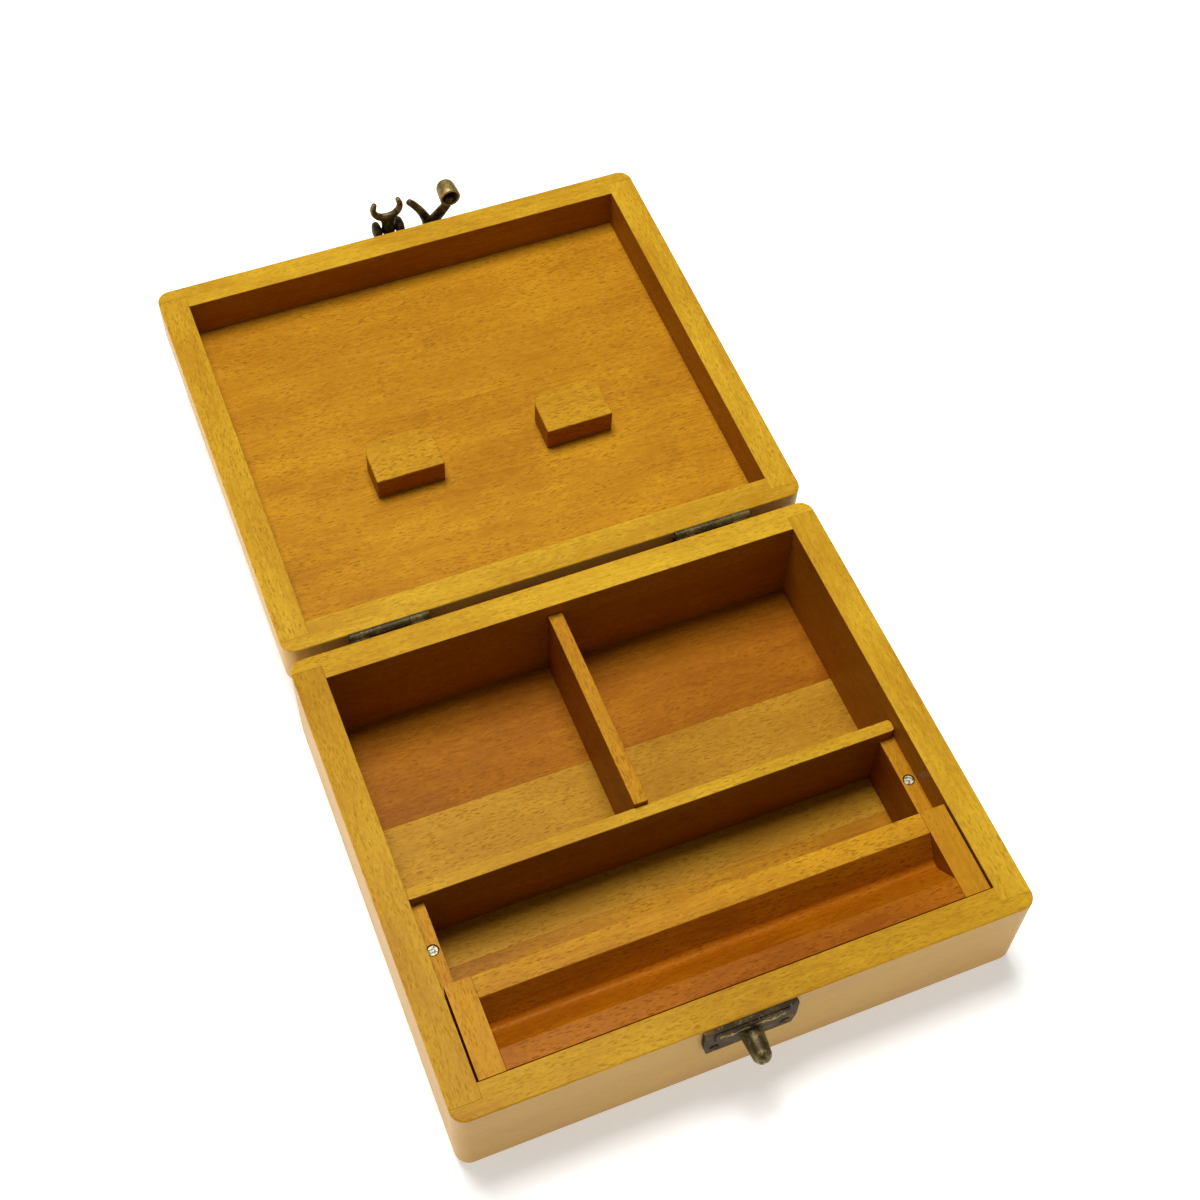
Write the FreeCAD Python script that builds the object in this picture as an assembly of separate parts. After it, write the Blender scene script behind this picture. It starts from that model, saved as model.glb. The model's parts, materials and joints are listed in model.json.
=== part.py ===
import math
import os

import FreeCAD
import Part

# Hinged wooden box for sewing things: a walled base with two dividers and a
# sliding tray, and a lid that folds right back on two small butt hinges.
# Units are millimetres.  X is across the width, +Y towards the hinges, +Z up.
# The origin is the centre of the base's underside.

V = FreeCAD.Vector

# ---- driving sizes -------------------------------------------------------
width = 165.0              # outside width, across X
depth = 144.0              # outside depth, across Y
base_height = 36.5         # base rim above the table
lid_height = 20.0          # closed lid, rim to top
side_wall = 9.0            # left and right wall thickness
end_wall = 8.6             # front and back wall thickness
corner_radius = 4.2        # rounding of the upright corners
edge_radius = 4.0          # rounding of the underside's and lid top's edges
rim_ease = 0.5             # easing of the outer rim edge
lap = 4.3                  # wood left of an end wall outside the side wall's end
rim_gap = 0.3              # gap between base rim and closed lid

board_top = 3.8            # inside floor level
board_low = 0.0            # underside of the floor boards
board_joint_back = 28.0    # glue line between back and middle floor boards
board_joint_front = -19.0  # glue line between middle and front floor boards
lid_recess = 14.2          # rim to panel inside the lid
lid_joint = -8.0           # glue line between the lid's two panel boards

long_divider_y = -5.4      # centre of the long divider
long_divider_thick = 3.8
long_divider_below = 6.6   # its top edge below the rim
short_divider_x = -3.7     # centre of the short divider
short_divider_thick = 4.4
short_divider_below = 4.7
divider_round = 1.2        # rounding of the dividers' upright end edges

rail_width = 4.5
rail_below = 10.6          # tray rail's top below the rim
magnet_radius = 1.5
magnet_thick = 1.5
magnet_hole_radius = 1.75
tray_travel = 28.0         # how far the tray slides back

magnet_sunk = 0.2          # magnets' faces below the rails' tops
cut_over = 1.0             # how far a cutting tool reaches past what it cuts

tray_side_gap = 0.7
tray_front_gap = 0.4
tray_depth = 27.0
tray_lift = 0.1            # running gap over the rails
tray_top_below = 0.5
tray_end_thick = 7.4
trough_back = 6.4          # flat behind the trough
trough_front = 6.0         # flat before the trough
trough_apex = 9.2          # depth where the two slopes would meet
trough_round = 2.0         # radius along the trough's bottom
trough_apex_run = 0.43     # how far forward the bottom lies, of the opening
tray_magnet_gap = 0.1      # round and under the tray's magnets

block_width = 22.0
block_depth = 15.8
block_height = 8.8
block_round = 5.0
block_left_x = -26.7
block_right_x = 29.6
block_y = 12.0

barrel_offset = 1.5        # hinge axis behind the back face
barrel_radius = 1.3
pin_radius = 0.7
bore_radius = 0.75
leaf_thick = 0.9
leaf_length = 24.2
leaf_height = 12.0
knuckle_middle = 12.2
hinge_x = 51.2             # hinge centres each side of the middle
lid_open = 178.0           # stored pose: the lid folded right back
screw_radius = 0.75
screw_head_radius = 1.45
screw_head = 0.45
screw_length = 5.5
hinge_screw_x = 7.6
hinge_screw_z = 7.4
knuckle_gap = 0.1          # between neighbouring knuckles
knuckle_clear = 0.35       # between a knuckle and the other leaf
panel_below_top = 0.2      # lid boards below the lid's top

latch_x = -2.0             # middle of the catch
catch_width_top = 26.6
catch_width_low = 24.6
catch_height = 12.6
catch_top_below = 0.6
catch_thick = 1.5
catch_lip = 0.6
catch_lip_height = 4.0
catch_lip_width = 21.0
catch_lip_inset = 0.4      # lip below the plate's top edge
catch_shoulder = 0.6       # share of the height where the sides turn in
peg_below = 7.7            # peg's middle below the rim
peg_root_radius = 3.3
peg_tip_radius = 2.7
peg_length = 9.6
peg_dome = 1.4             # height of the peg's rounded tip
peg_spigot = 1.6
catch_screw_x = 10.1
catch_screw_below = 10.4

plate_thick = 1.5
plate_left = 13.4          # latch plate's reach left of the catch's middle
plate_right = 20.6
plate_low = 1.8            # above the lid's rim
plate_high = 13.6
ear_radius = 3.1
ear_thick = 3.1
ear_gap = 4.7
fork_axis_out = 4.5        # fork pivot out from the lid's front face
fork_axis_up = 3.2         # fork pivot above the lid's rim
fork_pin_radius = 0.9
fork_bore_radius = 0.95
fork_thick = 2.4
fork_outer = 5.55          # outside radius of the fork's bend
fork_inner = 3.4           # inside radius of the fork's bend
fork_bend_below = 6.9      # centre of the bend below the lid's rim
fork_tip_below = 10.1
fork_waist = 3.0           # half width where the shank meets the bend
fork_waist_below = 1.6
fork_heel = 4.0            # half width and height over the bend's centre
fork_heel_up = 3.6
fork_knuckle = 0.85        # knuckle radius, of the fork's thickness
prong_lean = 0.35          # prong tips nearer the middle than the bend
prong_taper = 0.8          # prong tip's half width, of the bend's
pin_side_gap = 0.15        # each side of the shank between the ears
arm_pivot_x = 14.5         # from the catch's middle
arm_pivot_up = 6.0
arm_rivet_radius = 1.2
arm_bore_radius = 1.25
arm_out = 3.4              # arm's inner face out from the lid's front face
arm_thick = 2.2
arm_hub = 2.9
boss_radius = 2.6
rivet_head_radius = 2.2
arm_tail_tip = 1.15        # half width at the tail's end
arm_boss_gap = 0.1         # between the arm and its boss
rivet_head = 0.8
latch_screw_left = 3.0     # screw from the plate's left edge
latch_screw_right = 7.6    # screw from the catch's middle
latch_screw_down = 3.0     # screws below the plate's top edge
cup_radius = 3.5
cup_bore = 2.75
cup_length = 7.8
cup_depth = 6.3
cup_taper = 0.94           # radius where the dome starts, of the mouth's
cup_shoulder = 0.62        # where the dome starts, of the length
bore_taper = 0.92
bore_shoulder = 0.7
cup_x = 21.9               # cup's axis from the catch's middle
cup_below = 5.0            # cup's axis below the lid's rim
cup_mouth_in = 0.2         # cup's mouth nearer the lid than the arm is

# ---- worked out ----------------------------------------------------------
half_w = width / 2.0
half_d = depth / 2.0
in_x = half_w - side_wall
in_y = half_d - end_wall
rim = base_height
lid_rim = rim + rim_gap
lid_top = lid_rim + lid_height
hinge_y = half_d + barrel_offset
hinge_z = rim + rim_gap / 2.0
front = -half_d


def block(x0, x1, y0, y1, z0, z1):
    return Part.makeBox(x1 - x0, y1 - y0, z1 - z0, V(x0, y0, z0))


def rod(radius, start, direction, length):
    return Part.makeCylinder(radius, length, V(*start), V(*direction))


def prism_xz(points, y0, y1):
    wire = Part.makePolygon([V(x, y0, z) for x, z in points + points[:1]])
    return Part.Face(wire).extrude(V(0, y1 - y0, 0))


def joined(shapes):
    out = shapes[0]
    for s in shapes[1:]:
        out = out.fuse(s)
    return out.removeSplitter()


def group(shapes):
    return Part.makeCompound(shapes)


def anywhere(x, y):
    return True


def upright_edges(shape, keep):
    out = []
    for e in shape.Edges:
        p, q = e.Vertexes[0].Point, e.Vertexes[-1].Point
        if abs(p.x - q.x) < 1e-6 and abs(p.y - q.y) < 1e-6 and abs(p.z - q.z) > 1e-3:
            if keep(p.x, p.y):
                out.append(e)
    return out


def turned(profile, length, start):
    # profile of (radius, distance out), closed by a dome that ends at length;
    # turned about an axis that leaves start towards -Y
    r, d = profile[-1]
    h = length - d
    ball = (r * r + h * h) / (2 * h)
    centre = length - ball
    half = math.asin(min(1.0, r / ball)) / 2
    if h > ball:
        half = (math.pi - 2 * half) / 2
    mid_r, mid_d = ball * math.sin(half), centre + ball * math.cos(half)
    pts = [V(p, 0, q) for p, q in profile]
    edges = [Part.makeLine(pts[i], pts[i + 1]) for i in range(len(pts) - 1)]
    edges.append(Part.Arc(pts[-1], V(mid_r, 0, mid_d), V(0, 0, length)).toShape())
    edges.append(Part.makeLine(V(0, 0, length), pts[0]))
    body = Part.Face(Part.Wire(edges)).revolve(V(0, 0, 0), V(0, 0, 1), 360)
    body.rotate(V(0, 0, 0), V(1, 0, 0), 90)
    body.translate(V(*start))
    return body


def level_edges(shape, z):
    out = []
    for e in shape.Edges:
        if all(abs(v.Point.z - z) < 1e-6 for v in e.Vertexes):
            out.append(e)
    return out


def envelope(z_low, z_high, rounded_low):
    body = block(-half_w, half_w, -half_d, half_d, z_low, z_high)
    body = body.makeFillet(corner_radius, upright_edges(body, anywhere))
    big, small = (z_low, z_high) if rounded_low else (z_high, z_low)
    body = body.makeFillet(edge_radius, level_edges(body, big))
    return body.makeFillet(rim_ease, level_edges(body, small))


def walls(z_low, z_high, rounded_low):
    env = envelope(z_low, z_high, rounded_low)
    parts = {}
    for name, sign in (("front", -1), ("back", 1)):
        y0, y1 = sorted((sign * half_d, sign * in_y))
        w = block(-half_w, half_w, y0, y1, z_low, z_high)
        r0, r1 = sorted((sign * (half_d - lap), sign * in_y))
        for side in (-1, 1):
            x0, x1 = sorted((side * in_x, side * (half_w + cut_over)))
            w = w.cut(block(x0, x1, r0, r1, z_low - cut_over, z_high + cut_over))
        parts[name] = w.common(env)
    for name, side in (("left", -1), ("right", 1)):
        x0, x1 = sorted((side * in_x, side * half_w))
        w = block(x0, x1, -(half_d - lap), half_d - lap, z_low, z_high)
        parts[name] = w.common(env)
    return parts


def screw_hole(x, face_y, z, inward):
    start = face_y - inward * cut_over
    return rod(screw_radius, (x, start, z), (0, inward, 0), screw_length + cut_over)


def screw_at(x, face_y, z, inward):
    head = rod(screw_head_radius, (x, face_y - inward * screw_head, z), (0, inward, 0), screw_head)
    return joined([rod(screw_radius, (x, face_y, z), (0, inward, 0), screw_length), head])


nodes = {}

# ---- base: four lapped walls and a floor of three glued boards -----------
base = walls(0.0, rim, True)
nodes["base_board_front"] = block(-in_x, in_x, -in_y, board_joint_front, board_low, board_top)
nodes["base_board_middle"] = block(-in_x, in_x, board_joint_front, board_joint_back,
                                   board_low, board_top)
nodes["base_board_back"] = block(-in_x, in_x, board_joint_back, in_y, board_low, board_top)

# ---- dividers ------------------------------------------------------------
ld0 = long_divider_y - long_divider_thick / 2
ld1 = long_divider_y + long_divider_thick / 2
long_divider = block(-in_x, in_x, ld0, ld1, board_top, rim - long_divider_below)
long_divider = long_divider.makeFillet(divider_round, upright_edges(long_divider, anywhere))
sd0 = short_divider_x - short_divider_thick / 2
sd1 = short_divider_x + short_divider_thick / 2
short_divider = block(sd0, sd1, ld1, in_y, board_top, rim - short_divider_below)
short_divider = short_divider.makeFillet(divider_round / 2, upright_edges(short_divider, anywhere))
nodes["long_divider"] = long_divider
nodes["short_divider"] = short_divider

# ---- tray rails and their magnets ----------------------------------------
rail_top = rim - rail_below
tray_y0 = -in_y + tray_front_gap
tray_y1 = tray_y0 + tray_depth
tray_mid = (tray_y0 + tray_y1) / 2
magnet_x = in_x - rail_width / 2
magnet_z = rail_top - magnet_thick - magnet_sunk
magnet_front_y = tray_mid
magnet_back_y = tray_mid + tray_travel
for name, side in (("left", -1), ("right", 1)):
    x0, x1 = sorted((side * in_x, side * (in_x - rail_width)))
    rail = block(x0, x1, -in_y, ld0, board_top, rail_top)
    for y in (magnet_front_y, magnet_back_y):
        rail = rail.cut(rod(magnet_hole_radius, (side * magnet_x, y, magnet_z), (0, 0, 1),
                            magnet_thick + magnet_sunk + cut_over))
    nodes["tray_rail_" + name] = rail
for name, y in (("front", magnet_front_y), ("back", magnet_back_y)):
    nodes["rail_magnets_" + name] = group([
        rod(magnet_radius, (side * magnet_x, y, magnet_z), (0, 0, 1), magnet_thick)
        for side in (-1, 1)])

# ---- tray: a trough bar between two solid ends ---------------------------
tray_low = rail_top + tray_lift
tray_top = rim - tray_top_below
tray_x = in_x - tray_side_gap
bar_x = tray_x - tray_end_thick
bar = block(-bar_x, bar_x, tray_y0, tray_y1, tray_low, tray_top)
open_y0 = tray_y0 + trough_front
open_y1 = tray_y1 - trough_back
apex_y = open_y1 - trough_apex_run * (open_y1 - open_y0)
apex_z = tray_top - trough_apex


def toward(p, q, length):
    dy, dz = q[0] - p[0], q[1] - p[1]
    n = math.hypot(dy, dz)
    return (p[0] + dy / n * length, p[1] + dz / n * length)


back_top = (open_y1, tray_top)
front_top = (open_y0, tray_top)
apex = (apex_y, apex_z)
back_lean = math.atan2(open_y1 - apex_y, trough_apex)
front_lean = math.atan2(apex_y - open_y0, trough_apex)
half_angle = (back_lean + front_lean) / 2
run = trough_round / math.tan(half_angle)
t1 = toward(apex, back_top, run)
t2 = toward(apex, front_top, run)
bisector = (back_lean - front_lean) / 2
reach = trough_round / math.sin(half_angle) - trough_round
mid = (apex_y + reach * math.sin(bisector), apex_z + reach * math.cos(bisector))


def yz(p):
    return V(-bar_x - cut_over, p[0], p[1])


up_back = toward(apex, back_top, math.hypot(open_y1 - apex_y, trough_apex) + cut_over)
up_front = toward(apex, front_top, math.hypot(apex_y - open_y0, trough_apex) + cut_over)
trough = Part.Wire([
    Part.makeLine(yz(up_back), yz(t1)),
    Part.Arc(yz(t1), yz(mid), yz(t2)).toShape(),
    Part.makeLine(yz(t2), yz(up_front)),
    Part.makeLine(yz(up_front), yz(up_back))])
bar = bar.cut(Part.Face(trough).extrude(V(2 * (bar_x + cut_over), 0, 0)))
nodes["tray_trough"] = bar
for name, side in (("left", -1), ("right", 1)):
    x0, x1 = sorted((side * bar_x, side * tray_x))
    end = block(x0, x1, tray_y0, tray_y1, tray_low, tray_top)
    end = end.cut(rod(magnet_radius + tray_magnet_gap, (side * magnet_x, tray_mid, tray_low - cut_over),
                      (0, 0, 1), magnet_thick + tray_magnet_gap + cut_over))
    nodes["tray_end_" + name] = end
nodes["tray_magnets"] = group([
    rod(magnet_radius, (side * magnet_x, tray_mid, tray_low + tray_magnet_gap), (0, 0, 1), magnet_thick)
    for side in (-1, 1)])

# ---- lid, built closed ---------------------------------------------------
lid = walls(lid_rim, lid_top, False)
panel_low = lid_rim + lid_recess
lid_nodes = {}
panel_high = lid_top - panel_below_top
lid_nodes["lid_board_front"] = block(-in_x, in_x, -in_y, lid_joint, panel_low, panel_high)
lid_nodes["lid_board_back"] = block(-in_x, in_x, lid_joint, in_y, panel_low, panel_high)
for name, x in (("left", block_left_x), ("right", block_right_x)):
    b = block(x - block_width / 2, x + block_width / 2, block_y - block_depth / 2,
              block_y + block_depth / 2, panel_low - block_height, panel_low)
    b = b.makeFillet(block_round, upright_edges(b, lambda px, py: py < block_y))
    lid_nodes["lid_block_" + name] = b

# ---- hinges --------------------------------------------------------------
km = knuckle_middle / 2
hl = leaf_length / 2
knuckle_reach = barrel_radius + knuckle_clear
base_screws = []
lid_screws = []
pins = []
for name, side in (("left", -1), ("right", 1)):
    cx = side * hinge_x
    leaf = block(cx - hl, cx + hl, half_d, half_d + leaf_thick, hinge_z - leaf_height, hinge_z)
    leaf = leaf.cut(block(cx - km - knuckle_gap, cx + km + knuckle_gap, half_d - cut_over,
                          half_d + leaf_thick + cut_over, hinge_z - knuckle_reach, hinge_z + cut_over))
    knuckles = [rod(barrel_radius, (cx - hl, hinge_y, hinge_z), (1, 0, 0), hl - km - knuckle_gap),
                rod(barrel_radius, (cx + km + knuckle_gap, hinge_y, hinge_z), (1, 0, 0),
                    hl - km - knuckle_gap)]
    leaf = joined([leaf] + knuckles)
    leaf = leaf.cut(rod(pin_radius, (cx - hl, hinge_y, hinge_z), (1, 0, 0), leaf_length))
    top_leaf = block(cx - hl, cx + hl, half_d, half_d + leaf_thick,
                     hinge_z + knuckle_reach, hinge_z + leaf_height)
    tongue = block(cx - km, cx + km, half_d, half_d + leaf_thick, hinge_z, hinge_z + knuckle_reach)
    barrel = rod(barrel_radius, (cx - km, hinge_y, hinge_z), (1, 0, 0), knuckle_middle)
    top_leaf = joined([top_leaf, tongue, barrel])
    top_leaf = top_leaf.cut(rod(bore_radius, (cx - hl, hinge_y, hinge_z), (1, 0, 0), leaf_length))
    pins.append(rod(pin_radius, (cx - hl, hinge_y, hinge_z), (1, 0, 0), leaf_length))
    for dx in (-hinge_screw_x, hinge_screw_x):
        for z, is_lid in ((hinge_z - hinge_screw_z, False), (hinge_z + hinge_screw_z, True)):
            face_y = half_d + leaf_thick
            hole = screw_hole(cx + dx, face_y, z, -1)
            screw = screw_at(cx + dx, face_y, z, -1)
            if is_lid:
                top_leaf = top_leaf.cut(hole)
                lid["back"] = lid["back"].cut(hole)
                lid_screws.append(screw)
            else:
                leaf = leaf.cut(hole)
                base["back"] = base["back"].cut(hole)
                base_screws.append(screw)
    nodes["hinge_base_leaf_" + name] = leaf
    lid_nodes["hinge_lid_leaf_" + name] = top_leaf
nodes["hinge_pins"] = group(pins)
nodes["hinge_base_screws"] = group(base_screws)
lid_nodes["hinge_lid_screws"] = group(lid_screws)

# ---- catch plate and peg on the base's front -----------------------------
c_top = rim - catch_top_below
c_low = c_top - catch_height
catch_face = front - catch_thick
half_top = catch_width_top / 2
half_low = catch_width_low / 2
shoulder_z = c_top - catch_height * catch_shoulder
plate = prism_xz([(latch_x - half_top, c_top), (latch_x + half_top, c_top),
                  (latch_x + half_top, shoulder_z), (latch_x + half_low, c_low),
                  (latch_x - half_low, c_low), (latch_x - half_top, shoulder_z)], front, catch_face)
lip_top = c_top - catch_lip_inset
lip = block(latch_x - catch_lip_width / 2, latch_x + catch_lip_width / 2,
            catch_face - catch_lip, catch_face, lip_top - catch_lip_height, lip_top)
peg_z = rim - peg_below
plate = joined([plate, lip])
peg_clear = rod(peg_root_radius, (latch_x, catch_face - catch_lip, peg_z), (0, 1, 0), catch_lip)
plate = plate.cut(peg_clear)
plate = plate.cut(rod(peg_spigot, (latch_x, catch_face, peg_z), (0, 1, 0), catch_thick))
peg = turned([(0, 0), (peg_root_radius, 0), (peg_tip_radius, peg_length - peg_dome)], peg_length,
             (latch_x, catch_face, peg_z))
spigot = rod(peg_spigot, (latch_x, catch_face, peg_z), (0, 1, 0), catch_thick)
nodes["catch_peg"] = joined([peg, spigot])
screws = []
for dx in (-catch_screw_x, catch_screw_x):
    z = rim - catch_screw_below
    hole = screw_hole(latch_x + dx, catch_face, z, 1)
    plate = plate.cut(hole)
    base["front"] = base["front"].cut(hole)
    screws.append(screw_at(latch_x + dx, catch_face, z, 1))
nodes["catch_plate"] = plate
nodes["catch_screws"] = group(screws)

# ---- latch plate on the lid's front: two ears and a riveted arm ----------
ear_y = front - fork_axis_out
ear_z = lid_rim + fork_axis_up
p_x0 = latch_x - plate_left
p_x1 = latch_x + plate_right
latch_face = front - plate_thick
lplate = block(p_x0, p_x1, latch_face, front, lid_rim + plate_low, lid_rim + plate_high)
ears = []
for side in (-1, 1):
    x0, x1 = sorted((latch_x + side * ear_gap / 2, latch_x + side * (ear_gap / 2 + ear_thick)))
    ears.append(rod(ear_radius, (x0, ear_y, ear_z), (1, 0, 0), x1 - x0))
    ears.append(block(x0, x1, ear_y, latch_face, lid_rim + plate_low, ear_z + ear_radius))
pivot_x = latch_x + arm_pivot_x
pivot_z = lid_rim + arm_pivot_up
arm_y1 = front - arm_out
arm_y0 = arm_y1 - arm_thick
boss = rod(boss_radius, (pivot_x, arm_y1 + arm_boss_gap, pivot_z), (0, 1, 0),
           arm_out - arm_boss_gap - plate_thick)
lplate = joined([lplate, boss] + ears)
pin_half = ear_gap / 2 + ear_thick
lplate = lplate.cut(rod(fork_pin_radius, (latch_x - pin_half, ear_y, ear_z), (1, 0, 0), 2 * pin_half))
lplate = lplate.cut(rod(arm_rivet_radius, (pivot_x, arm_y1, pivot_z), (0, 1, 0), arm_out))
lid_nodes["fork_pin"] = rod(fork_pin_radius, (latch_x - pin_half, ear_y, ear_z), (1, 0, 0), 2 * pin_half)
rivet_under = arm_y0 - arm_boss_gap
lid_nodes["arm_rivet"] = joined([
    rod(arm_rivet_radius, (pivot_x, front, pivot_z), (0, -1, 0), front - rivet_under),
    rod(rivet_head_radius, (pivot_x, rivet_under, pivot_z), (0, -1, 0), rivet_head)])
screws = []
latch_screw_z = lid_rim + plate_high - latch_screw_down
for x in (p_x0 + latch_screw_left, latch_x + latch_screw_right):
    hole = screw_hole(x, latch_face, latch_screw_z, 1)
    lplate = lplate.cut(hole)
    lid["front"] = lid["front"].cut(hole)
    screws.append(screw_at(x, latch_face, latch_screw_z, 1))
lid_nodes["latch_plate"] = lplate
lid_nodes["latch_screws"] = group(screws)

# ---- fork: shank on the pin, then a U that straddles the peg -------------
fy0 = ear_y - fork_thick / 2
fy1 = ear_y + fork_thick / 2
bend_z = lid_rim - fork_bend_below
shank_half = ear_gap / 2 - pin_side_gap
ring = rod(fork_outer, (latch_x, fy0, bend_z), (0, 1, 0), fork_thick)
ring = ring.cut(block(latch_x - fork_outer, latch_x + fork_outer, fy0, fy1, bend_z - fork_outer, bend_z))
waist_z = lid_rim - fork_waist_below
heel_z = bend_z + fork_heel_up
shank = prism_xz([(latch_x - shank_half, ear_z), (latch_x + shank_half, ear_z),
                  (latch_x + shank_half, lid_rim), (latch_x + fork_waist, waist_z),
                  (latch_x + fork_heel, heel_z), (latch_x - fork_heel, heel_z),
                  (latch_x - fork_waist, waist_z), (latch_x - shank_half, lid_rim)], fy0, fy1)
knuckle = rod(fork_thick * fork_knuckle, (latch_x - shank_half, ear_y, ear_z), (1, 0, 0), 2 * shank_half)
prong_r = (fork_outer - fork_inner) / 2 * prong_taper
prong_x = (fork_outer + fork_inner) / 2 - prong_lean
tip_z = lid_rim - fork_tip_below + prong_r
prongs = []
for side in (-1, 1):
    low_x = latch_x + side * prong_x
    prongs.append(prism_xz([(latch_x + side * fork_inner, bend_z), (latch_x + side * fork_outer, bend_z),
                            (low_x + side * prong_r, tip_z), (low_x - side * prong_r, tip_z)], fy0, fy1))
    prongs.append(rod(prong_r, (low_x, fy0, tip_z), (0, 1, 0), fork_thick))
inner = rod(fork_inner, (latch_x, fy0, bend_z), (0, 1, 0), fork_thick)
fork = joined([ring.fuse(shank).cut(inner)] + prongs + [knuckle])
fork = fork.cut(rod(fork_bore_radius, (latch_x - shank_half, ear_y, ear_z), (1, 0, 0), 2 * shank_half))
fork_nodes = {"latch_fork": fork}

# ---- swinging arm: curved tail, hub and a cup at the other end -----------
def arm_station(dx, dz, half_width):
    return (latch_x + dx, lid_rim + dz, half_width)


def strip(stations):
    # stations: (x, z, half width); a band through them with smooth edges
    left, right = [], []
    n = len(stations)
    for i, (x, z, w) in enumerate(stations):
        a = stations[max(i - 1, 0)]
        b = stations[min(i + 1, n - 1)]
        tx, tz = b[0] - a[0], b[1] - a[1]
        m = math.hypot(tx, tz)
        nx, nz = -tz / m, tx / m
        left.append(V(x + nx * w, arm_y0, z + nz * w))
        right.append(V(x - nx * w, arm_y0, z - nz * w))
    c1 = Part.BSplineCurve()
    c1.interpolate(left)
    c2 = Part.BSplineCurve()
    c2.interpolate(right)
    wire = Part.Wire([c1.toShape(), Part.makeLine(left[-1], right[-1]), c2.toShape(),
                      Part.makeLine(right[0], left[0])])
    return Part.Face(wire).extrude(V(0, arm_thick, 0))


tail = [arm_station(7.4, -7.2, arm_tail_tip), arm_station(9.1, -5.3, 1.3), arm_station(10.9, -2.6, 1.35),
        arm_station(12.4, 0.8, 1.5), arm_station(13.5, 3.6, 1.7), (pivot_x, pivot_z, 2.0)]
limb = [(pivot_x, pivot_z, 2.1), arm_station(16.6, 3.6, 2.2), arm_station(19.2, 0.9, 1.9),
        arm_station(21.0, -1.2, 1.6), arm_station(21.8, -3.4, 1.4)]
hub = rod(arm_hub, (pivot_x, arm_y0, pivot_z), (0, 1, 0), arm_thick)
tail_end = rod(arm_tail_tip, (tail[0][0], arm_y0, tail[0][1]), (0, 1, 0), arm_thick)
arm = joined([hub, strip(tail), strip(limb), tail_end])
arm = arm.cut(rod(arm_bore_radius, (pivot_x, arm_y0, pivot_z), (0, 1, 0), arm_thick))
mouth = (latch_x + cup_x, arm_y1 + cup_mouth_in, lid_rim - cup_below)
shell = turned([(0, 0), (cup_radius, 0), (cup_radius * cup_taper, cup_length * cup_shoulder)],
               cup_length, mouth)
arm = arm.cut(rod(cup_radius, mouth, (0, -1, 0), cup_length))
hollow = turned([(0, -cut_over), (cup_bore, -cut_over), (cup_bore * bore_taper, cup_depth * bore_shoulder)],
                cup_depth, mouth)
cup = shell.cut(hollow)
arm_nodes = {"latch_arm": arm, "latch_cup": cup}

# ---- walls in, lid folded back, everything written -----------------------
for name, shape in base.items():
    nodes["base_wall_" + name] = shape
for name, shape in lid.items():
    lid_nodes["lid_wall_" + name] = shape
for part_nodes in (lid_nodes, fork_nodes, arm_nodes):
    for name, shape in part_nodes.items():
        moved = shape.copy()
        moved.rotate(V(0, hinge_y, hinge_z), V(1, 0, 0), -lid_open)
        nodes[name] = moved

os.makedirs("parts", exist_ok=True)
for name in sorted(nodes):
    shape = nodes[name]
    if len(shape.Solids) == 1:
        shape = shape.Solids[0]
    shape.exportStep("parts/" + name + ".step")
print("nodes", len(nodes))
for name in sorted(nodes):
    s = nodes[name]
    print(name, "solids", len(s.Solids), "valid", s.isValid(), "volume", round(s.Volume, 1))
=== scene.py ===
from collections import namedtuple
import json
import math

import bpy
import numpy as np
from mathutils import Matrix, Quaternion, Vector


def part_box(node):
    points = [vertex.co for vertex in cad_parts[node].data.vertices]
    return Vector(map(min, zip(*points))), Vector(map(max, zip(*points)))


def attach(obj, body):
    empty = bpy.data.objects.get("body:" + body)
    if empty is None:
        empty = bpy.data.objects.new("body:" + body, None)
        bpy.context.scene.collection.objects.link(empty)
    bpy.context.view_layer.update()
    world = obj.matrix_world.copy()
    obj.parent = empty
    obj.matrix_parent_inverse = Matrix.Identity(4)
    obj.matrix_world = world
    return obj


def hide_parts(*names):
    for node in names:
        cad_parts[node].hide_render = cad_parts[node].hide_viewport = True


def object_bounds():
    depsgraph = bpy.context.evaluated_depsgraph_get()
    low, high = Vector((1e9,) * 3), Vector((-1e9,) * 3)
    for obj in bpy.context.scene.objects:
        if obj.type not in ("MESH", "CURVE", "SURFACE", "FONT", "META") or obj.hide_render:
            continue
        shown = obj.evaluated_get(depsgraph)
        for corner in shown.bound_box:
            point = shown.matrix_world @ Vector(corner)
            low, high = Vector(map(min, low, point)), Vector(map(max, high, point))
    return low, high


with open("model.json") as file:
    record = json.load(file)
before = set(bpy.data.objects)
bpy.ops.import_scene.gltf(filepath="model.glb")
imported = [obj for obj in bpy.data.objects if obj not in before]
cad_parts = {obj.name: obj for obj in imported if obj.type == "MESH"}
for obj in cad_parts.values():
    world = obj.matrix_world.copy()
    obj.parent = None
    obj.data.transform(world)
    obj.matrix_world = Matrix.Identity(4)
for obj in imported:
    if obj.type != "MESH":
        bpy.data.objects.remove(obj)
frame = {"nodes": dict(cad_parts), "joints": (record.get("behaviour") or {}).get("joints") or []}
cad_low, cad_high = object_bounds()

# A hinged beech box for sewing things, lying open: a base with two dividers and a
# sliding tray, a lid with two small blocks, butt hinges, and a cast catch of peg,
# fork and swinging horn.  Everything is in metres; MM turns millimetres into metres.
MM = 0.001
STILL = (0.0, 0.0, 0.0)

# ---------------------------------------------------------------- shader nodes


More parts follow.
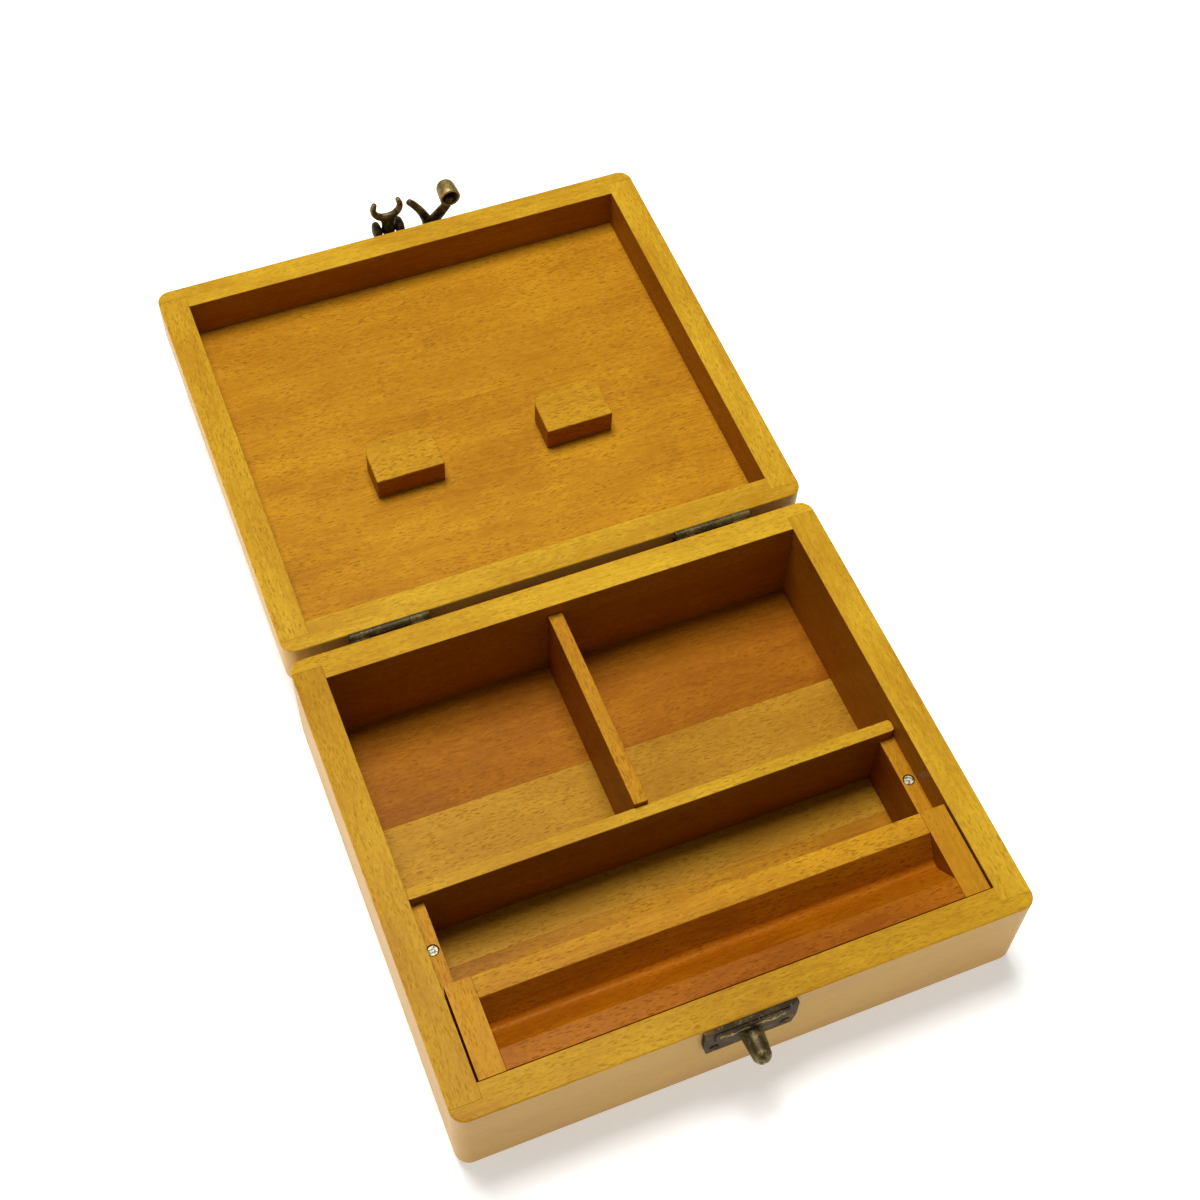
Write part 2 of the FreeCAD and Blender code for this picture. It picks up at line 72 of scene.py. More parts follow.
class Value:
    """A number on a shader socket. Arithmetic on it adds Math nodes to its graph."""

    def __init__(self, graph, socket):
        self.graph, self.socket = graph, socket

    def math(self, operation, *others):
        """One Math node, with this value first and the others after it."""
        values = dict(enumerate((self,) + others))
        return self.graph.add("ShaderNodeMath", {"operation": operation}, values).value()

    def __add__(self, other):
        return self.math("ADD", other)

    def __sub__(self, other):
        return self.math("SUBTRACT", other)

    def __mul__(self, other):
        return self.math("MULTIPLY", other)

    def __truediv__(self, other):
        return self.math("DIVIDE", other)

    def __pow__(self, other):
        return self.math("POWER", other)

    def __rsub__(self, other):
        return self.graph.add(
            "ShaderNodeMath", {"operation": "SUBTRACT"}, {0: other, 1: self}).value()

    __radd__ = __add__
    __rmul__ = __mul__


class Added:
    """A node that has been added, which hands out its sockets."""

    def __init__(self, graph, node):
        self.graph, self.node = graph, node

    def out(self, name=0):
        return self.node.outputs[name]

    def value(self, name=0):
        return Value(self.graph, self.node.outputs[name])


class Graph:
    """The node tree of one material."""

    def __init__(self, name):
        self.material = bpy.data.materials.new(name)
        self.material.use_nodes = True
        self.tree = self.material.node_tree
        self.tree.nodes.clear()

    def add(self, kind, settings=None, values=None):
        """Adds a node: its settings first, then a value or a link for each socket named."""
        node = self.tree.nodes.new(kind)
        for key, setting in (settings or {}).items():
            setattr(node, key, setting)
        for key, value in (values or {}).items():
            if isinstance(value, Value):
                value = value.socket
            if isinstance(value, bpy.types.NodeSocket):
                self.tree.links.new(value, node.inputs[key])
            else:
                node.inputs[key].default_value = value
        return Added(self, node)

    def mix(self, share, first, second, blend="MIX"):
        """Colour between first and second; share 0 gives first."""
        settings = {"data_type": "RGBA", "blend_type": blend}
        return self.add("ShaderNodeMix", settings, {0: share, 6: first, 7: second}).out(2)

    def noise(self, place, scale=1.0, detail=2.0, rough=0.5, twist=0.0):
        """Noise about 0.5, whose lumps are one over scale across."""
        values = {"Vector": place, "Scale": scale, "Detail": detail,
                  "Roughness": rough, "Distortion": twist}
        return self.add("ShaderNodeTexNoise", {}, values).value("Fac")

    def stretch(self, place, sizes):
        """Divides a place by a size along each axis, so that a pattern of size one fits it."""
        shares = tuple(1.0 / s for s in sizes)
        return self.add("ShaderNodeVectorMath", {"operation": "MULTIPLY"},
                        {0: place, 1: shares}).out()

    def step(self, value, start, end):
        """0 before start and 1 after end, turning smoothly between."""
        return self.add("ShaderNodeMapRange", {"interpolation_type": "SMOOTHSTEP"},
                        {"Value": value, "From Min": start, "From Max": end}).value()

    def millimetres(self, shift=STILL, turn=STILL):
        """The place on the object in millimetres, turned and then shifted."""
        place = self.add("ShaderNodeTexCoord").out("Object")
        return self.add("ShaderNodeMapping", {}, {
            "Vector": place, "Location": shift, "Rotation": turn, "Scale": (1.0 / MM,) * 3}).out()

    def spots(self, place, sizes, core, edge):
        """Scattered long spots, about one to a cell of those sizes: 1 out to core, 0 past edge."""
        cells = self.add("ShaderNodeTexVoronoi", {}, {
            "Vector": self.stretch(place, sizes), "Scale": 1.0, "Randomness": 1.0})
        return 1.0 - self.step(cells.value("Distance"), core, edge)

    def surface(self, **values):
        """Ends the material with one Principled shader; the names use _ for a space."""
        values = {key.replace("_", " "): value for key, value in values.items()}
        shader = self.add("ShaderNodeBsdfPrincipled", {}, values)
        self.add("ShaderNodeOutputMaterial", {}, {"Surface": shader.out()})
        return self.material


# ------------------------------------------------------------------- finishes

RIGHT_ANGLE = math.pi / 2
# turns that bring the grain, along x or along y, to x
GRAIN_TURN = {"x": (0.0, 0.0, 0.0), "y": (0.0, 0.0, -RIGHT_ANGLE)}

# Where a piece's tone changes: painted shade and painted sheen. turn and shift bring a place to
# the shut box. start is the height where the change starts, downwards for sign 1 and upwards for
# sign -1. low and high are corners, left front and right back: between them the tone is deeper,
# a painted shade, by the shade tone, and elsewhere it is paler, a painted sheen, by the sheen
# share. Without low the tone is only paler, the painted sheen alone.
Shell = namedtuple("Shell", "turn shift start sign low high stain rub")
START_SOFT = (0.25 * MM, 0.45 * MM)
SIDE_SOFT = 0.1 * MM

# patterns in beech: their length along the grain and their sizes across it, in millimetres
CLOUDS = (55.0, 17.0, 17.0)
PATCHES = (15.0, 9.0, 9.0)
WANDER = (60.0, 11.0, 11.0)
STREAKS = (24.0, 0.8, 0.8)
FIBRES = (6.0, 0.22, 0.22)
MOTTLE = (3.2, 1.0, 1.0)
STRAYING = (5.0, 1.9, 1.9)
STRAY_REACH = (2.6, 1.5, 1.5)
DASHES = (3.6, 0.62, 0.62)
SPECKS = (1.9, 0.40, 0.40)
SPOT_CORE, SPOT_EDGE = 0.12, 0.46
# growth rings: how wide, how many widths they wander, and the direction that crosses them
RING_WIDTH, RING_WANDER = 2.9, 5.0
RING_ACROSS = (0.035, 0.78, 0.62)
SEED_STEPS = (37.0, 22.57, 13.69)     # how far a seed of one shifts the pattern
# the pale tone of the painted sheen on outer faces
PAINTED_SHEEN_BEECH = (0.455, 0.285, 0.105, 1.0)


def shell_masks(g, shell):
    """How deep the painted shade is at a place, within the shell's hollow, and how pale the
    painted sheen is outside it.
    """
    place = g.add("ShaderNodeTexCoord").out("Object")
    shut = g.add("ShaderNodeMapping", {}, {
        "Vector": place, "Rotation": (shell.turn, 0.0, 0.0), "Location": shell.shift}).out()
    apart = g.add("ShaderNodeSeparateXYZ", {}, {"Vector": shut})
    beyond = g.step((shell.start - apart.value(2)) * shell.sign, *START_SOFT)
    if shell.low is None:
        return None, beyond
    deep = beyond
    for axis in range(2):
        at, low, high = apart.value(axis), shell.low[axis], shell.high[axis]
        deep = deep * (g.step(at, low - SIDE_SOFT, low + SIDE_SOFT)
                       * (1.0 - g.step(at, high - SIDE_SOFT, high + SIDE_SOFT)))
    return deep, (beyond - deep) * shell.rub


def beech(name, grain, light, dark, seed, fleck, figure, shell=None):
    """Lacquered beech: clouds and growth rings drawn out along the grain, fine
    streaks, a soft mottle, and the short dark ray flecks that mark beech. A piece's
    shell says where light and shade are painted on it: in its hollow the tone is deeper,
    a painted shade, and on the outer faces it is paler and smoother, a painted sheen."""
    g = Graph(name)
    place = g.millimetres(tuple(step * seed for step in SEED_STEPS), GRAIN_TURN[grain])
    cloud = g.noise(g.stretch(place, CLOUDS), detail=3.0)
    patch = g.noise(g.stretch(place, PATCHES), detail=4.0, rough=0.62)
    wander = g.noise(g.stretch(place, WANDER), detail=2.0)
    across = g.add("ShaderNodeVectorMath", {"operation": "DOT_PRODUCT"},
                   {0: place, 1: RING_ACROSS}).value("Value")
    ring = (across / RING_WIDTH + wander * RING_WANDER).math("FRACT")
    late_wood = ring ** 3.0
    streak = g.noise(g.stretch(place, STREAKS), detail=4.0, rough=0.65)
    fibre = g.noise(g.stretch(place, FIBRES), detail=2.0)
    mottle = g.noise(g.stretch(place, MOTTLE), detail=3.0, rough=0.6, twist=0.6)
    stray = g.add("ShaderNodeTexNoise", {}, {
        "Vector": g.stretch(place, STRAYING), "Scale": 1.0, "Detail": 2.0}).out("Color")
    stray = g.add("ShaderNodeVectorMath", {"operation": "MULTIPLY"},
                  {0: stray, 1: STRAY_REACH}).out()
    bent = g.add("ShaderNodeVectorMath", {"operation": "ADD"}, {0: place, 1: stray}).out()
    dash = g.spots(bent, DASHES, SPOT_CORE, SPOT_EDGE)
    dash = dash * g.step(mottle * 0.6 + patch * 0.4, 0.36, 0.56) * fleck
    speck = g.spots(bent, SPECKS, SPOT_CORE, SPOT_EDGE) * g.step(patch, 0.30, 0.55)
    tone = (0.5 + (cloud - 0.5) * (1.5 * figure) + (patch - 0.5) * (0.9 * figure)
            + (streak - 0.5) * 0.45 + (fibre - 0.5) * 0.3 - late_wood * (0.16 * figure)
            + (mottle - 0.5) * 0.75)
    tone = tone.math("MINIMUM", 1.0).math("MAXIMUM", 0.0)
    colour = g.mix(tone, dark, light)
    mark = tuple(0.60 * part for part in dark[:3]) + (1.0,)
    deep, pale = shell_masks(g, shell) if shell else (None, None)
    # painted sheen: outer faces paler, their flecks fainter
    if pale is not None:
        sheen_fade = 1.0 - pale * 0.75
        dash = dash * sheen_fade
        speck = speck * sheen_fade
        colour = g.mix(pale * 0.62, colour, PAINTED_SHEEN_BEECH)
    colour = g.mix(dash * 0.62, colour, mark)
    colour = g.mix(speck * (0.40 * fleck), colour, mark)
    # painted shade: the tone in the hollow multiplied deeper
    if deep is not None:
        colour = g.mix(deep * 0.85, colour, shell.stain, "MULTIPLY")
    height = streak * 0.4 - dash * 0.9 - speck * 0.4 + fibre * 0.2 + mottle * 0.5
    bump = g.add("ShaderNodeBump", {}, {
        "Height": height, "Strength": 0.2, "Distance": 0.14 * MM})
    rough = 0.42 + (patch - 0.5) * 0.25 + dash * 0.12
    return g.surface(Base_Color=colour, Roughness=rough, Normal=bump.out(),
                     Specular_IOR_Level=0.12, Specular_Tint=(1.0, 0.70, 0.28, 1.0),
                     Coat_Weight=0.008, Coat_Roughness=0.2)


# patterns on cast metal, in millimetres, and the tones that come and go on it
TARNISH = (4.2, 4.2, 4.2)
PEBBLES = (0.8, 0.8, 0.8)
PORES = (0.22, 0.22, 0.22)
PLUM = (0.120, 0.042, 0.022, 1.0)
WORN_BRASS = (0.50, 0.41, 0.19, 1.0)


def bronze(name, low, high, wear=0.0, metal=0.7, coat=0.0, sheen=0.5):
    """Antique bronze: low and high mixed in broad patches, plum patches, and a pebbled
    cast skin. With wear its edges are bright, and without it its specks."""
    g = Graph(name)
    place = g.millimetres()
    large = g.noise(g.stretch(place, TARNISH), detail=3.0)
    small = g.noise(g.stretch(place, PEBBLES), detail=4.0, rough=0.6)
    pores = g.noise(g.stretch(place, PORES), detail=2.0)
    if wear:
        edge = g.add("ShaderNodeNewGeometry").value("Pointiness")
        worn = g.step(edge + (small - 0.5) * 0.05, 0.51, 0.58) * wear
    else:
        worn = g.step(small, 0.60, 0.72) * 0.35
    olive = g.step(large * 0.6 + small * 0.4, 0.42, 0.66)
    colour = g.mix(olive, low, high)
    colour = g.mix(g.step(large, 0.56, 0.72) * 0.55, colour, PLUM)
    colour = g.mix(worn * 0.75, colour, WORN_BRASS)
    bump = g.add("ShaderNodeBump", {}, {
        "Height": small * 0.6 + pores * 0.4, "Strength": 0.3, "Distance": 0.12 * MM})
    rough = 0.55 + (small - 0.5) * 0.35 - worn * 0.12
    return g.surface(Base_Color=colour, Roughness=rough, Normal=bump.out(), Metallic=metal,
                     Specular_IOR_Level=sheen, Specular_Tint=(1.0, 0.84, 0.58, 1.0),
                     Coat_Weight=coat, Coat_Roughness=0.3)


TARNISH_SPOTS = (0.7, 0.7, 0.7)
BRUSHING = (2.5, 0.06, 0.5)


def nickel(name):
    """Plated magnet: bright, brushed and a little tarnished."""
    g = Graph(name)
    place = g.millimetres()
    dull = g.noise(g.stretch(place, TARNISH_SPOTS), detail=3.0)
    brush = g.noise(g.stretch(place, BRUSHING), detail=2.0)
    colour = g.mix(g.step(dull, 0.4, 0.62), (0.09, 0.08, 0.05, 1.0), (0.46, 0.43, 0.31, 1.0))
    bump = g.add("ShaderNodeBump", {}, {
        "Height": brush, "Strength": 0.12, "Distance": 0.05 * MM})
    return g.surface(Base_Color=colour, Roughness=0.42 + dull * 0.25, Normal=bump.out(),
                     Metallic=0.9)


# ------------------------------------------------------------------- surfaces


def made(name, parts, material, body, replaces=()):
    """One mesh from closed grids. Each grid has rows by columns by three; columns close
    on themselves, and each end row is closed by a pole at its middle."""
    points, faces, start = [], [], 0
    for grid in parts:
        rows, cols = grid.shape[:2]
        flat = np.concatenate([grid.reshape(-1, 3), grid[0].mean(0)[None], grid[-1].mean(0)[None]])
        r, c = np.meshgrid(np.arange(rows - 1), np.arange(cols), indexing="ij")
        n = (c + 1) % cols
        quads = np.stack([r * cols + c, r * cols + n, (r + 1) * cols + n, (r + 1) * cols + c],
                         -1).reshape(-1, 4)
        k = np.arange(cols)
        k1 = (k + 1) % cols
        first = np.stack([np.full(cols, rows * cols), k1, k], -1)
        last = np.stack([np.full(cols, rows * cols + 1), (rows - 1) * cols + k,
                         (rows - 1) * cols + k1], -1)
        tris = np.concatenate([quads[:, [0, 1, 2]], quads[:, [0, 2, 3]], first, last])
        a, b, d = (flat[tris[:, i]] for i in range(3))
        if np.einsum("ij,ij->", a, np.cross(b, d)) < 0:
            quads, first, last = quads[:, ::-1], first[:, ::-1], last[:, ::-1]
        points.append(flat)
        faces += (quads + start).tolist() + (np.concatenate([first, last]) + start).tolist()
        start += len(flat)
    mesh = bpy.data.meshes.new(name)
    mesh.from_pydata(np.concatenate(points).tolist(), [], faces)
    mesh.polygons.foreach_set("use_smooth", np.full(len(mesh.polygons), True))
    mesh.validate()
    mesh.update()
    piece = bpy.data.objects.new(name, mesh)
    bpy.context.scene.collection.objects.link(piece)
    mesh.materials.append(material)
    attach(piece, body)
    if replaces:
        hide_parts(*replaces)
    return piece


def through(stations, count):
    """A smooth line through stations, rows of numbers: Catmull-Rom, each stretch a cubic
    whose end slopes are half the way from the station before to the station after."""
    p = np.asarray(stations, float)
    p = np.concatenate([2 * p[:1] - p[1:2], p, 2 * p[-1:] - p[-2:-1]])
    s = np.linspace(0, len(stations) - 1, count)
    i = np.minimum(s.astype(int), len(stations) - 2)
    t = (s - i)[:, None]
    a, b, c, d = p[i], p[i + 1], p[i + 2], p[i + 3]
    return b + 0.5 * t * (c - a + t * (2 * a - 5 * b + 4 * c - d + t * (3 * (b - c) + d - a)))


def bent(wave, squareness):
    """A sine or cosine, bent so that the curve the two draw is a superellipse."""
    return np.sign(wave) * np.abs(wave) ** (2 / squareness)


def carried(line, wide, thick, out, squareness=2.6, columns=36, ends=0.06):
    """A rounded bar carried along a line: each section is a superellipse, wide across the
    line and thick towards out, and it shrinks to nothing as a half ellipse at both ends."""
    n = len(line)
    along = np.gradient(line, axis=0)
    along /= np.linalg.norm(along, axis=1)[:, None]
    across = np.cross(along, out)
    across /= np.linalg.norm(across, axis=1)[:, None]
    s = np.linspace(0, 1, n)
    edge = np.clip(np.minimum(s, 1 - s) / ends, 0, 1)
    swell = np.sqrt(np.clip(1 - (1 - edge) ** 2, 0.0004, 1))
    a = np.linspace(0, 2 * np.pi, columns, endpoint=False)
    c, d = bent(np.cos(a), squareness), bent(np.sin(a), squareness)
    wide = (np.broadcast_to(wide, n) * swell)[:, None, None]
    thick = (np.broadcast_to(thick, n) * swell)[:, None, None]
    return (line[:, None] + wide * c[None, :, None] * across[:, None]
            + thick * d[None, :, None] * np.asarray(out, float)[None, None])


def square_to(out):
    """Two level directions square to out, which is level itself, and to each other."""
    side = np.cross(out, (0.0, 0.0, 1.0))
    return side, np.cross(out, side)


def turned(profile, start, out, columns=56):
    """A turned shape: profile rows of radius and distance, carried once round the axis
    that leaves start in the direction out."""
    side, third = square_to(out)
    a = np.linspace(0, 2 * np.pi, columns, endpoint=False)
    ring = np.cos(a)[:, None] * side + np.sin(a)[:, None] * third
    profile = np.asarray(profile, float)
    return (np.asarray(start)[None, None] + profile[:, 0, None, None] * ring[None]
            + profile[:, 1, None, None] * out[None, None])


HEAD = 1.45 * MM              # a screw head's radius
RISE = 0.45 * MM              # and its height


def screw_head(middle, out, turn, radius=HEAD, height=RISE):
    """A domed head with a slot: every row is a loop round one chord of the disc, over the
    dome and back underneath, and the rows between the slot's edges sink."""
    half_slot, lip, sink = 0.17 * radius, 0.03 * radius, 0.62 * height
    outer = radius * np.sin(np.linspace(-np.pi / 2, 0, 14))
    outer = outer[outer < -half_slot - lip]
    slot = [-half_slot - lip, -half_slot, 0.0, half_slot, half_slot + lip]
    y = np.concatenate([outer, slot, -outer[::-1]])
    chord = np.sqrt(np.clip(radius ** 2 - y ** 2, (0.01 * radius) ** 2, None))
    x = chord[:, None] * np.sin(np.linspace(-np.pi / 2, np.pi / 2, 22))[None]
    apart = np.clip((x ** 2 + y[:, None] ** 2) / radius ** 2, 0, 1)
    z = height * (0.35 + 0.65 * np.sqrt(1 - 0.9 * apart)) * (1 - 0.25 * apart ** 6)
    in_slot = np.abs(y) <= half_slot
    z = np.where(in_slot[:, None], np.minimum(z, height - sink), z)
    top = np.stack([x, np.broadcast_to(y[:, None], x.shape), z], -1)
    under = top[:, ::-1] * (1, 1, 0) - (0, 0, 0.1 * height)
    local = np.concatenate([top, under], 1)
    side, third = square_to(out)
    u = math.cos(turn) * side + math.sin(turn) * third
    v = -math.sin(turn) * side + math.cos(turn) * third
    return (np.asarray(middle)[None, None] + local[..., :1] * u + local[..., 1:2] * v
            + local[..., 2:] * out)


WELD_WITHIN = 0.004 * MM
FLAT_WITHIN = math.radians(0.6)
SHARP_FROM = math.radians(30)
CORNER_WEIGHT = 90


def ease(name, width, segments=2):
    """Rounds a CAD node's sharp edges by that width: its triangles are joined, flat faces
    made whole, and each edge sharper than SHARP_FROM is bevelled."""
    node = frame["nodes"][name]
    weld = node.modifiers.new("join", "WELD")
    weld.merge_threshold = WELD_WITHIN
    flat = node.modifiers.new("flat", "DECIMATE")
    flat.decimate_type = "DISSOLVE"
    flat.angle_limit = FLAT_WITHIN
    bevel = node.modifiers.new("ease", "BEVEL")
    bevel.width = width
    bevel.segments = segments
    bevel.limit_method = "ANGLE"
    bevel.angle_limit = SHARP_FROM
    crisp = node.modifiers.new("crisp", "WEIGHTED_NORMAL")
    crisp.mode = "FACE_AREA"
    crisp.weight = CORNER_WEIGHT
    node.data.polygons.foreach_set("use_smooth", np.full(len(node.data.polygons), True))


def painted(name, material):
    """Gives a CAD node its material."""
    mesh = frame["nodes"][name].data
    mesh.materials.clear()
    mesh.materials.append(material)


# ------------------------------------------------------- where the lid turns

joints = {joint["name"]: joint for joint in frame["joints"]}
HINGE = np.array(joints["lid_hinge"]["pos_m"])
OPEN = math.radians(joints["lid_hinge"]["range_deg"][1])


def turned_back(points, angle=-OPEN):
    """Points of the closed lid, turned about the hinge to where the open lid is."""
    p = np.asarray(points, float) - HINGE
    c, s = math.cos(angle), math.sin(angle)
    turn = np.array([[1, 0, 0], [0, c, -s], [0, s, c]])
    return p @ turn.T + HINGE


# ----------------------------------------------------------------------- wood

HONEY = ((0.640, 0.385, 0.022, 1.0), (0.400, 0.182, 0.008, 1.0))
TOFFEE = ((0.560, 0.315, 0.016, 1.0), (0.340, 0.145, 0.006, 1.0))
AMBER = ((0.560, 0.265, 0.011, 1.0), (0.335, 0.122, 0.005, 1.0))
RUST = ((0.420, 0.150, 0.006, 1.0), (0.235, 0.062, 0.002, 1.0))
STRAW = ((0.600, 0.315, 0.016, 1.0), (0.370, 0.155, 0.006, 1.0))
COPPER = ((0.470, 0.215, 0.009, 1.0), (0.280, 0.095, 0.004, 1.0))
PALE = ((0.520, 0.270, 0.021, 1.0), (0.320, 0.130, 0.007, 1.0))

# node: grain, tones, seed, strength of the flecks, strength of the clouds, eased edge in mm
WOOD = {
    "base_wall_front": ("x", TOFFEE, 1.3, 0.9, 0.9, 0.16),
    "base_wall_back": ("x", HONEY, 2.7, 0.9, 0.9, 0.16),
    "base_wall_left": ("y", TOFFEE, 3.1, 0.9, 0.9, 0.16),
    "base_wall_right": ("y", HONEY, 4.9, 0.8, 1.0, 0.16),
    "lid_wall_front": ("x", HONEY, 5.3, 0.8, 0.9, 0.16),
    "lid_wall_back": ("x", HONEY, 6.1, 0.9, 1.0, 0.16),
    "lid_wall_left": ("y", HONEY, 7.7, 1.1, 0.8, 0.16),
    "lid_wall_right": ("y", HONEY, 8.2, 1.0, 1.0, 0.16),
    "base_board_front": ("x", COPPER, 9.4, 1.1, 1.0, 0.06),
    "base_board_middle": ("x", PALE, 10.6, 1.1, 0.8, 0.06),
    "base_board_back": ("x", RUST, 11.2, 0.9, 1.0, 0.06),
    "lid_board_front": ("x", AMBER, 12.9, 1.2, 0.7, 0.05),
    "lid_board_back": ("x", AMBER, 13.5, 1.1, 1.0, 0.05),
    "lid_block_left": ("x", STRAW, 14.3, 1.4, 0.6, 0.4),
    "lid_block_right": ("x", STRAW, 15.8, 1.4, 0.6, 0.4),
    "long_divider": ("x", HONEY, 16.4, 1.0, 0.9, 0.25),
    "short_divider": ("y", AMBER, 17.7, 1.2, 0.8, 0.25),
    "tray_rail_left": ("y", AMBER, 18.1, 1.0, 1.2, 0.2),
    "tray_rail_right": ("y", AMBER, 19.6, 1.0, 1.3, 0.2),
    "tray_trough": ("x", AMBER, 20.3, 1.2, 1.2, 0.25),
    "tray_end_left": ("y", AMBER, 21.5, 0.8, 0.8, 0.25),
    "tray_end_right": ("y", AMBER, 22.2, 0.6, 0.8, 0.25),
}

# painted shade, multiplied into the hollows: the first for walls, dividers, blocks, rails and the
# tray's ends, the second for the tray's trough
WALL_PAINTED_SHADE = (0.66, 0.345, 0.20, 1.0)
TRAY_PAINTED_SHADE = (0.68, 0.37, 0.08, 1.0)
SKIN = 0.25 * MM              # the hollow is that much larger than what the walls enclose
# the boards' outer faces are paler to this depth, a painted sheen
OUTER_SKIN = 1.5 * MM         # boards are pale that far in from their outer faces
BACK_STRIP = 6.4 * MM         # flat behind the tray's trough
BLOCK_FALL = 0.7 * MM         # how far the open lid's slope drops a block's top
EVERYWHERE = 1.0


def walls_shell(turn, shift, start, sign):
    """Walls: a painted shade in the hollow, which lid and base share, and a painted pale sheen
    outside.
    """
    low = (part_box("base_wall_left")[1].x - SKIN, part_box("base_wall_front")[1].y - SKIN)
    high = (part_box("base_wall_right")[0].x + SKIN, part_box("base_wall_back")[0].y + SKIN)
    return Shell(turn, shift, start, sign, low, high, WALL_PAINTED_SHADE, 1.0)


def boards_shell(turn, shift, start, sign):
    """Boards: pale on their outer face, a painted sheen."""
    return Shell(turn, shift, start, sign, None, None, None, 1.0)


def painted_shade_below(node, drop=0.0):
    """Dividers, blocks, rails and the tray's ends: a painted shade from drop below their tops."""
    return Shell(0.0, STILL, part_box(node)[1].z - drop, 1.0, (-EVERYWHERE, -EVERYWHERE),
                 (EVERYWHERE, EVERYWHERE), WALL_PAINTED_SHADE, 0.0)


def trough_shell():
    """The tray's trough: a painted shade all over but for the strip along its back."""
    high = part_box("tray_trough")[1]
    return Shell(0.0, STILL, high.z + MM, 1.0, (-EVERYWHERE, -EVERYWHERE),
                 (EVERYWHERE, high.y - BACK_STRIP), TRAY_PAINTED_SHADE, 0.0)


base_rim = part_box("base_wall_left")[1].z
lid_rim = base_rim + 2 * (HINGE[2] - base_rim)
shut_shift = tuple(turned_back(np.zeros(3), OPEN))
# the shut lid's top, from the lowest point of its front wall as it lies open
front_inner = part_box("base_wall_front")[1].y
slope_drop = math.sin(-OPEN) * (front_inner - HINGE[1])
lid_top = HINGE[2] + (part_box("lid_wall_front")[0].z - HINGE[2] - slope_drop) / math.cos(OPEN)
# a node's name without its last word says which shell it has
SHELLS = {
    "base_wall": walls_shell(0.0, STILL, base_rim, 1.0),
    "lid_wall": walls_shell(OPEN, shut_shift, lid_rim, -1.0),
    "base_board": boards_shell(0.0, STILL, cad_low.z + OUTER_SKIN, 1.0),
    "lid_board": boards_shell(OPEN, shut_shift, lid_top - OUTER_SKIN, -1.0),
    "tray": trough_shell(),
    "long": painted_shade_below("long_divider"),
    "short": painted_shade_below("short_divider"),
    "lid_block": painted_shade_below("lid_block_left", BLOCK_FALL),
    "tray_rail": painted_shade_below("tray_rail_left"),
    "tray_end": painted_shade_below("tray_end_left"),
}
for node, (grain, (light, dark), seed, fleck, figure, edge) in WOOD.items():
    shell = SHELLS.get(node.rsplit("_", 1)[0])
    painted(node, beech("beech_" + node, grain, light, dark, seed, fleck, figure, shell))
    ease(node, edge * MM)

# ------------------------------------------------------------- hinges, magnets

cast = bronze("antique_bronze", (0.050, 0.030, 0.011, 1.0), (0.230, 0.175, 0.062, 1.0),
              wear=1.0, coat=0.1)
plate_cast = bronze("antique_bronze_plate", (0.014, 0.007, 0.003, 1.0),
                    (0.070, 0.046, 0.013, 1.0), metal=0.3, sheen=0.2)
rolled = bronze("antique_bronze_hinge", (0.045, 0.033, 0.014, 1.0),
                (0.160, 0.125, 0.045, 1.0), metal=0.5, sheen=0.3)
khaki = bronze("rubbed_bronze", (0.160, 0.110, 0.034, 1.0), (0.430, 0.320, 0.095, 1.0),
               wear=0.3, coat=0.1)
bright = nickel("magnet_plate")
LEAF_EDGE, CAST_EDGE, MAGNET_EDGE = 0.12 * MM, 0.28 * MM, 0.15 * MM
for node in ("hinge_base_leaf_left", "hinge_base_leaf_right",
             "hinge_lid_leaf_left", "hinge_lid_leaf_right", "hinge_pins"):
    painted(node, rolled)
    ease(node, LEAF_EDGE)
for node in ("catch_plate", "fork_pin", "arm_rivet"):
    painted(node, plate_cast)
    ease(node, CAST_EDGE, 3)
for node in ("rail_magnets_front", "rail_magnets_back", "tray_magnets"):
    painted(node, bright)
    ease(node, MAGNET_EDGE)

# ------------------------------------------------ where the latch's parts stand

# the latch is shaped with the lid shut, and each piece is then turned back
PIVOT = turned_back(joints["fork_hinge"]["pos_m"], OPEN)     # middle of the fork's pin
ARM = turned_back(joints["arm_swing"]["pos_m"], OPEN)        # the horn's rivet, on its inner face
OUTWARD = np.array((0.0, -1.0, 0.0))
BACKWARD = -OUTWARD
PLATE_THICK = 1.5 * MM
wall_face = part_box("base_wall_front")[0].y
plate_face = wall_face - PLATE_THICK


def latch_line(origin, stations, count):
    """A smooth line in the latch's plane: stations are millimetres across and up from origin."""
    flat = through(stations, count)
    line = np.zeros((count, 3))
    line[:, 0], line[:, 2] = flat[:, 0] * MM, flat[:, 1] * MM
    return line + origin, flat[:, 2:] * MM


def fused(piece, voxel, rounds):
    """Joins a piece's closed parts into one skin and softens where they meet."""
    joined = piece.modifiers.new("fuse", "REMESH")
    joined.mode = "VOXEL"
    joined.voxel_size = voxel
    joined.use_smooth_shade = True
    soft = piece.modifiers.new("soften", "SMOOTH")
    soft.factor = 0.5
    soft.iterations = rounds


# ----------------------------------------------------------- the latch plate


def cushion(middle, half, squareness, rows=40, columns=56):
    """A rounded block: a superellipsoid, whose every section is a superellipse."""
    up = np.linspace(-RIGHT_ANGLE, RIGHT_ANGLE, rows + 2)[1:-1, None]
    turn = np.linspace(0, 4 * RIGHT_ANGLE, columns, endpoint=False)[None]
    x = bent(np.cos(up), squareness) * bent(np.cos(turn), squareness)
    y = bent(np.cos(up), squareness) * bent(np.sin(turn), squareness)
    z = bent(np.sin(up), squareness) + 0 * turn
    return np.asarray(middle) + np.stack([x, y, z], -1) * np.asarray(half)


